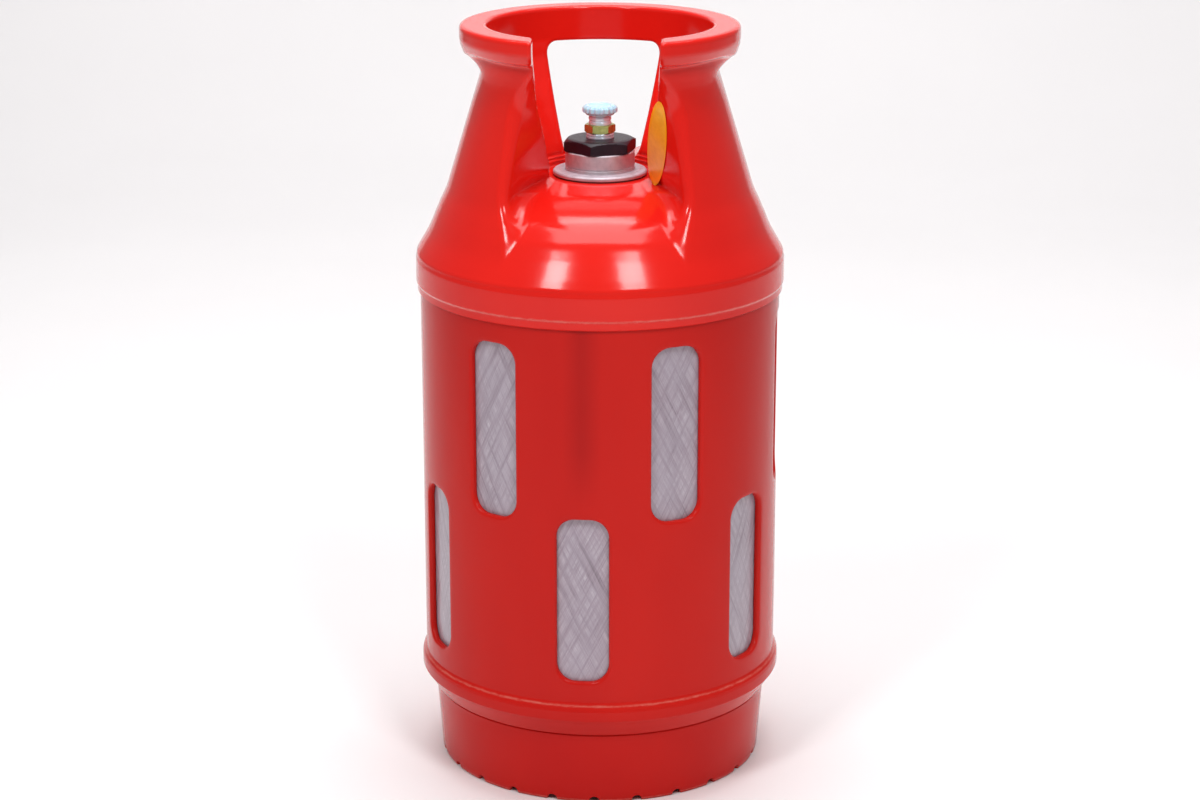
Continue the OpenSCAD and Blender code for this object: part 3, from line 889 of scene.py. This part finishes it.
# ---- wound vessel
SHELL_LOW, SHELL_HIGH = 102, 430        # ends of the straight wall
DOME_LOW, DOME_HIGH = 74.0, 76.0
SHELL_WALL = 4.5
BAND_PITCH = 17.1


def winding_relief(arc, z):
    """Height of the two families of roving bands above the mean shell surface."""
    out = np.zeros_like(arc)
    for sign, phase in ((1, 0.0), (-1, 5.0)):
        across = arc * math.cos(WINDING_LEAN) + sign * z * math.sin(WINDING_LEAN) + phase
        out += np.abs(np.sin(math.pi * across / BAND_PITCH)) ** 0.6
    return 0.32 * (out - 1.4)


def build_vessel():
    outline = []
    for t in np.linspace(math.asin(21 / SHELL_R), math.pi / 2, 34)[:-1]:
        outline.append((SHELL_R * math.sin(t), SHELL_LOW - DOME_LOW * math.cos(t)))
    outline += [(SHELL_R, z) for z in spaced((SHELL_LOW + 1, SHELL_HIGH, 2.6))]
    for t in np.linspace(math.pi / 2, math.asin(30 / SHELL_R), 30)[1:]:
        outline.append((SHELL_R * math.sin(t), SHELL_HIGH + DOME_HIGH * math.cos(t)))
    columns = 352
    ring = np.array(outline)
    angles = even_angles(columns)
    rr, aa = np.meshgrid(ring[:, 0], angles)
    zz = np.tile(ring[:, 1], (columns, 1))
    on_wall = smooth_step(60, 110, zz) * (1 - smooth_step(420, 440, zz))
    rr = rr + np.minimum(winding_relief(aa * SHELL_R, zz) * on_wall, 0)
    outer = polar(rr, aa, zz)
    inner_r = np.maximum(ring[:, 0] - SHELL_WALL, 15.5)[None, :].repeat(columns, 0)
    in_dome = np.where(zz < SHELL_LOW, SHELL_WALL, np.where(zz > SHELL_HIGH, -SHELL_WALL, 0))
    steep = np.abs(np.cos(np.arcsin(np.clip(ring[:, 0] / SHELL_R, 0, 1))))
    inner_z = zz + in_dome * steep[None, :]
    pick = list(range(0, len(ring), 6)) + [len(ring) - 1]       # the inner face is coarser
    inner = polar(inner_r, aa, inner_z)[:, pick][:, ::-1]
    both = np.concatenate([outer, inner], 1)
    return both.reshape(-1, 3), grid_faces(columns, both.shape[1], True, True)


vessel = make(
    "wound_shell", *build_vessel(), FIBRE, "wound_fibre", replaces=["composite_shell"], sharp=60
)


def read(items, key, kind=np.int64, width=1):
    out = np.empty(len(items) * width, kind)
    items.foreach_get(key, out)
    return out


def wrap_uv(piece, radius):
    """UV in metres of arc and height, so that strands keep one width all round."""
    mesh = piece.data
    layer = mesh.uv_layers.new(name="wrap")
    co = read(mesh.vertices, "co", float, 3).reshape(-1, 3)
    corner = read(mesh.loops, "vertex_index")
    angle = np.arctan2(co[:, 1], co[:, 0])[corner]
    starts, totals = read(mesh.polygons, "loop_start"), read(mesh.polygons, "loop_total")
    first = np.repeat(angle[starts], totals)
    angle = first + (angle - first + math.pi) % (2 * math.pi) - math.pi
    uv = np.stack([angle * radius * MM, co[corner, 2]], 1)
    layer.data.foreach_set("uv", uv.reshape(-1))


wrap_uv(vessel, SHELL_R)


# ---- neck and valve
def hexagon(name, flats, outline, turn, corner_r, material, slot, replaces):
    """A hexagon nut: an outline (radius, height) cut back to six flats, with rounded corners."""
    side = np.array([0, 0.9, 1.8, 3, 5, 9, 16, 24, 30, 36, 44, 51, 55, 57, 58.2, 59.1])
    angles = np.radians(np.concatenate([side + 60 * k for k in range(6)]))
    reach = (flats / 2 - corner_r) / np.cos((angles % math.radians(60)) - math.radians(30))
    reach = np.minimum(reach + corner_r, flats / math.sqrt(3) - corner_r * 0.12)
    radii, heights = np.array(outline).T
    rows = [
        polar(np.minimum(radii, limit), a, heights) for a, limit in zip(angles + turn, reach)
    ]
    return make(name, *closed_grid(rows), material, slot, replaces=replaces, sharp=24)


def fine(outline, step=0.5):
    """Adds points along an outline so that cuts across it stay smooth."""
    out = []
    for (ar, az), (br, bz) in zip(outline, outline[1:] + outline[:1]):
        n = max(1, int(math.hypot(br - ar, bz - az) / step))
        out += [(ar + (br - ar) * k / n, az + (bz - az) * k / n) for k in range(n)]
    return out


boss_top = high("neck_boss")[2]
nut_top = high("adaptor_nut")[2]
base_top = low("lock_nut")[2]
lock_top = high("lock_nut")[2]
outlet_top = high("valve_body")[2]
cap_low, cap_top = low("safety_cap")[2], high("safety_cap")[2]
BOSS_R = 29.2
ADAPTOR_FLATS, LOCK_FLATS = 55.0, 22.7

lathe("neck_boss_turned", rounded([
    (20, 480, 0), (23, 480, 0.5), (24, 494, 0.5), (50, 494, 2), (49, 501, 1), (BOSS_R + 1, 508, 1),
    (BOSS_R, 512, 0.5), (BOSS_R, 519.4, 0.2), (BOSS_R - 0.5, 519.8, 0.1),
    (BOSS_R - 0.5, 520.4, 0.1), (BOSS_R, 520.8, 0.2), (BOSS_R, boss_top - 0.9, 0.4),
    (BOSS_R - 1, boss_top, 0.4), (24, boss_top, 0.4), (24, boss_top - 2.6, 0.2),
    (20, boss_top - 2.6, 0.2),
], 3), BOSS, "boss_metal", 160, replaces=["neck_boss"])
lathe("neck_flange_turned", rounded([
    (BOSS_R, 513, 0.1), (39, 513, 0.4), (39.6, 513.7, 0.4), (39.6, 515.6, 0.8), (38.4, 516.8, 1),
    (34.5, 517.0, 0.6), (33.6, 517.4, 0.4), (BOSS_R + 1.2, 517.4, 0.5), (BOSS_R, 517.0, 0.1),
], 3), FLANGE, "flange_metal", 160, replaces=["neck_flange"])
hexagon("adaptor_nut_body", ADAPTOR_FLATS, fine([
    (20.2, 516), (20.2, boss_top), (30.4, boss_top), (31.5, boss_top + 0.9), (31.5, nut_top - 2.8),
    (27.2, nut_top - 0.5), (24.4, nut_top), (10.7, nut_top), (10.7, 516),
], 0.7), math.radians(18), 0.9, BLACK, "nut_black", ["adaptor_nut"])
lathe("valve_body_turned", rounded([
    (4.2, 532, 0.2), (7.5, 531.9, 0), (7.5, 505, 0), (9.6, 505, 0), (10.6, 506, 0),
    (10.6, nut_top - 0.6, 0), (11.7, nut_top, 0.3), (11.7, nut_top + 1.4, 0.3),
    (11.3, nut_top + 1.8, 0.2), (11.7, nut_top + 2.2, 0.2), (11.7, base_top - 0.6, 0.5),
    (10.9, base_top, 0.2), (9.5, base_top, 0), (9.5, 557.2, 0.3), (8.9, 557.7, 0.2),
    (8.9, 558.4, 0.2), (9.5, 558.9, 0.3), (9.5, 561.2, 0.3), (8.9, 561.8, 0.2), (8.9, 562.6, 0.2),
    (9.5, 563.2, 0.3), (9.5, outlet_top - 0.6, 0.4), (8.9, outlet_top, 0.2), (7, outlet_top, 0.3),
    (7, 557, 0.2), (4.2, 557, 0.2),
], 3), PLATED, "valve_plating", 96, replaces=["valve_body"])
hexagon("lock_nut_body", LOCK_FLATS, fine([
    (9.55, base_top), (12.0, base_top), (13.2, base_top + 1.1), (13.2, lock_top - 1.1),
    (12.0, lock_top - 0.2), (11.2, lock_top), (9.55, lock_top),
], 0.4), math.radians(4), 0.5, BRASS, "nut_brass", ["lock_nut"])


def build_spring():
    """Closed-end compression coil."""
    bottom, top = low("spindle_spring")[2], high("spindle_spring")[2]
    wire, turns, sides = 0.6, 6, 10
    radius = high("spindle_spring")[0] - wire
    steps = turns * 26
    t = np.linspace(0, 1, steps + 1)
    rise = t - 0.06 * np.sin(2 * math.pi * t)
    angle = 2 * math.pi * turns * t
    centre = bottom + wire + (top - bottom - 2 * wire) * rise
    round_wire = even_angles(sides)
    reach = radius + wire * np.cos(round_wire)[None, :]
    height = centre[:, None] + wire * np.sin(round_wire)[None, :]
    points = polar(reach, angle[:, None], height).reshape(-1, 3)
    faces = grid_faces(steps + 1, sides, wrap_cols=True)
    caps = [list(range(sides)), list(range(steps * sides, (steps + 1) * sides))[::-1]]
    piece = make(
        "spindle_spring_coil", points, faces + caps, SPRING, "spring_steel",
        replaces=["spindle_spring"], sharp=50
    )
    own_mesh(piece)


build_spring()

CAP_TEETH = 18
TOOTH_DEPTH = 1.5


def build_cap():
    """Cap with rounded grip teeth, a recessed top and a hollow that fits over the outlet."""
    r, bore, roof = high("safety_cap")[0], 9.8, 567.7
    radii, heights = np.array(rounded([
        (bore, cap_low, 0.3), (r - 3.2, cap_low, 0.6), (r - 1.6, cap_low + 1.8, 0.6),
        (r, cap_low + 2.4, 0.5), (r, cap_top - 2.2, 0.8), (r - 1.6, cap_top - 0.6, 0.8),
        (r - 4, cap_top, 0.8), (r - 5.4, cap_top, 0.4), (r - 6.2, cap_top - 0.7, 0.4),
        (0.0, cap_top - 0.5, 0), (0.0, roof, 0), (bore, roof, 0.4),
    ], 4)).T
    grip = smooth_step(r - 3.0, r - 1.0, radii)
    angles = even_angles(CAP_TEETH * 12)
    cuts = TOOTH_DEPTH * (0.5 - 0.5 * np.cos(CAP_TEETH * angles)) ** 1.5
    return closed_grid([polar(radii - cut * grip, a, heights) for a, cut in zip(angles, cuts)])


make(
    "safety_cap_toothed", *build_cap(), CAP, "cap_plastic", body="cap", replaces=["safety_cap"],
    sharp=45
)


# ---- oval label laid on the side wall
def label_material():
    m, tree, shader = new_material("label_amber", 0.32, Coat_Weight=0.25, Coat_Roughness=0.2)
    uv = add(tree, "ShaderNodeTexCoord").outputs["UV"]
    ring = add(tree, "ShaderNodeVectorMath", {0: uv}, operation="LENGTH").outputs["Value"]
    blotch = noise(tree, coords(tree), 180, 4, 0.6)
    amber = ramp(tree, blotch, [(0.3, (0.80, 0.38, 0.022)), (0.7, (0.92, 0.48, 0.035))])
    edge = ramp(tree, ring, [(0.82, grey(0)), (0.86, grey(1))])
    paint(tree, shader, mix_colour(tree, edge, amber, (0.95, 0.42, 0.010)))
    bump(tree, shader, [(noise(tree, coords(tree), 600, 3), 0.0001, 0.3)])
    return m


LABEL_HALF_W, LABEL_HALF_H = 7.7, 34.2      # as seen from the front
LABEL_TILT = math.radians(2.5)
LABEL_CENTRE = np.array((48.6, -62.5, 550.5))
LABEL_THICK, LABEL_GAP = 0.5, 0.5
TO_FRONT = np.array((0.013, -0.981, 0.194))     # the sheet is laid on the wall along this
MISSED_WALL = -45       # points that come down further back than this have missed the wall


def unit_disc(rings, spokes):
    """Points and faces of a disc of radius 1: its middle first, its rim last."""
    spots = [(0.0, 0.0)] + [
        (i / rings * math.cos(a), i / rings * math.sin(a))
        for i in range(1, rings + 1) for a in even_angles(spokes)
    ]
    faces = [(0, 1 + j, 1 + (j + 1) % spokes) for j in range(spokes)]
    for i in range(rings - 1):
        for j in range(spokes):
            k = (j + 1) % spokes
            a, b = 1 + i * spokes, 1 + (i + 1) * spokes
            faces.append((a + j, b + j, b + k, a + k))
    return np.array(spots), faces


def laid_on_wall(flat, u, v):
    """Moves flat points along TO_FRONT on to the wall; u and v are their places on the disc."""
    reach = np.full(len(flat), 30.0)
    for _ in range(90):
        d = shroud_at(flat + reach[:, None] * TO_FRONT)
        reach -= np.clip(d - 0.25, -1.5, 1.5) * 0.8
    # The sheet keeps the wall's gentle bend and carries on straight past the wall's inner edge
    terms = np.stack([np.ones(len(u)), u, v, u * u, u * v, v * v], 1)
    on_wall = reach > MISSED_WALL
    for tolerance in (8, 5, 3, 2.5, 2.5):
        bend = np.linalg.lstsq(terms[on_wall], reach[on_wall], rcond=None)[0]
        on_wall = np.abs(reach - terms @ bend) < tolerance
    reach = np.maximum(terms @ bend + LABEL_GAP, reach)
    return flat + reach[:, None] * TO_FRONT


def build_label():
    """Oval sheet laid on the right side wall so that it shows as an upright oval from the front."""
    rings, spokes = 14, 72
    disc, faces = unit_disc(rings, spokes)
    p, q = LABEL_HALF_W * disc[:, 0], LABEL_HALF_H * disc[:, 1]
    p, q = (
        p * math.cos(LABEL_TILT) + q * math.sin(LABEL_TILT),
        q * math.cos(LABEL_TILT) - p * math.sin(LABEL_TILT),
    )
    along = np.array((1.0, 0.013, 0.0))
    up = np.cross(along, -TO_FRONT)
    flat = LABEL_CENTRE + p[:, None] * along + q[:, None] * up
    top = laid_on_wall(flat, p / LABEL_HALF_W, q / LABEL_HALF_H)
    count = len(top)
    both = np.concatenate([top, top + TO_FRONT * LABEL_THICK])
    edge = 1 + (rings - 1) * spokes
    under = [tuple(count + v for v in reversed(f)) for f in faces]
    rim = [
        (edge + j, count + edge + j, count + edge + (j + 1) % spokes, edge + (j + 1) % spokes)
        for j in range(spokes)
    ]
    piece = make(
        "oval_label", both, faces + under + rim, label_material(), "label_amber",
        replaces=["info_label"], sharp=60
    )
    layer = piece.data.uv_layers.new(name="oval")
    for loop in piece.data.loops:
        layer.data[loop.index].uv = disc[loop.vertex_index % count]


build_label()


# ---- materials of the CAD parts that stay
CAD_LOOKS = {
    "liner": LINER, "tail_plug": BOSS, "base_cushion": FOAM, "crown_cushion": FOAM,
    "boss_seal": RUBBER, "flange_gasket": RUBBER, "adaptor_seal": RUBBER, "outlet_seal": RUBBER,
    "spindle_seal": RUBBER, "cap_disc": RUBBER, "spindle": PLAIN_BRASS, "spring_plug": PLAIN_BRASS,
}
for name, look in CAD_LOOKS.items():
    for entry in nodes[name].material_slots:
        entry.material = look


# ---- floor, lights and camera
WORLD_LIT = 0.24        # strength of the room as it lights the object
WORLD_SEEN = 0.92       # and as the camera sees it past the floor and the wall
SIDE_POWER, TOP_POWER, BACK_POWER = 34, 44, 48
WALL_HALF = 1.7


def backdrop():
    """Pale floor that bends up into a narrower wall behind the object."""
    wide, back_y, bend, tall = 7.0, 3.2, 1.2, 5.0
    profile = [(-wide, 0.0, wide)]
    for k in range(13):
        t = math.pi / 2 * k / 12
        half = wide + (WALL_HALF - wide) * min(1, k / 3)
        profile.append((back_y - bend + bend * math.sin(t), bend * (1 - math.cos(t)), half))
    profile.append((back_y, tall, WALL_HALF))
    points = [(x, y, z) for y, z, half in profile for x in (-half, half)]
    floor_mesh = bpy.data.meshes.new("floor")
    floor_mesh.from_pydata(points, [], grid_faces(len(profile), 2))
    floor_mesh.shade_smooth()
    floor = new_object("floor", floor_mesh)
    m, tree, shader = new_material("pale_floor", 0.65)
    drift = noise(tree, coords(tree), 2.0)
    paint(tree, shader, ramp(tree, drift, [(0.3, grey(0.88)), (0.7, grey(0.90))]))
    floor_mesh.materials.append(m)


def room():
    """Even light from all round, brighter to the camera than to the object."""
    world = bpy.data.worlds.new("studio")
    bpy.context.scene.world = world
    world.use_nodes = True
    back = world.node_tree.nodes["Background"]
    back.inputs["Color"].default_value = (1.0, 0.98, 0.98, 1)
    seen = add(world.node_tree, "ShaderNodeLightPath").outputs["Is Camera Ray"]
    strength = add(
        world.node_tree, "ShaderNodeMapRange", {"Value": seen}, To_Min=WORLD_LIT, To_Max=WORLD_SEEN
    )
    world.node_tree.links.new(strength.outputs["Result"], back.inputs["Strength"])


def softbox(name, place, aim, width, height, power):
    lamp = bpy.data.lights.new(name, "AREA")
    lamp.shape = "RECTANGLE"
    lamp.size, lamp.size_y = width, height
    lamp.energy = power
    lamp.color = (1, 0.97, 0.98)
    light = new_object(name, lamp)
    light.location = place
    light.rotation_euler = (Vector(aim) - Vector(place)).to_track_quat("-Z", "Y").to_euler()


CAMERA = {"azimuth": 2.0, "out": 2.331, "height": 1.001, "pitch": 16.43, "lens": 84.6}


def camera():
    data = bpy.data.cameras.new("view")
    data.lens = CAMERA["lens"]
    data.sensor_width = 36
    data.clip_end = 50
    view = new_object("view", data)
    a = math.radians(CAMERA["azimuth"])
    view.location = (CAMERA["out"] * math.sin(a), -CAMERA["out"] * math.cos(a), CAMERA["height"])
    view.rotation_euler = (math.radians(90 - CAMERA["pitch"]), 0, a)
    bpy.context.scene.camera = view


backdrop()
room()
softbox("softbox_left", (-1.2, -1.9, 2.8), (0, 0, 0.45), 0.6, 0.8, SIDE_POWER)
softbox("softbox_right", (0.95, -1.9, 2.8), (0, 0, 0.45), 0.7, 0.8, SIDE_POWER)
softbox("softbox_top", (0, 0.2, 3.0), (0, 0.1, 0.0), 1.8, 1.6, TOP_POWER)
softbox("backdrop_light", (0, 1.3, 3.6), (0, 2.9, 0.6), 4.5, 0.8, BACK_POWER)
camera()
bpy.context.scene.view_settings.view_transform = "Standard"
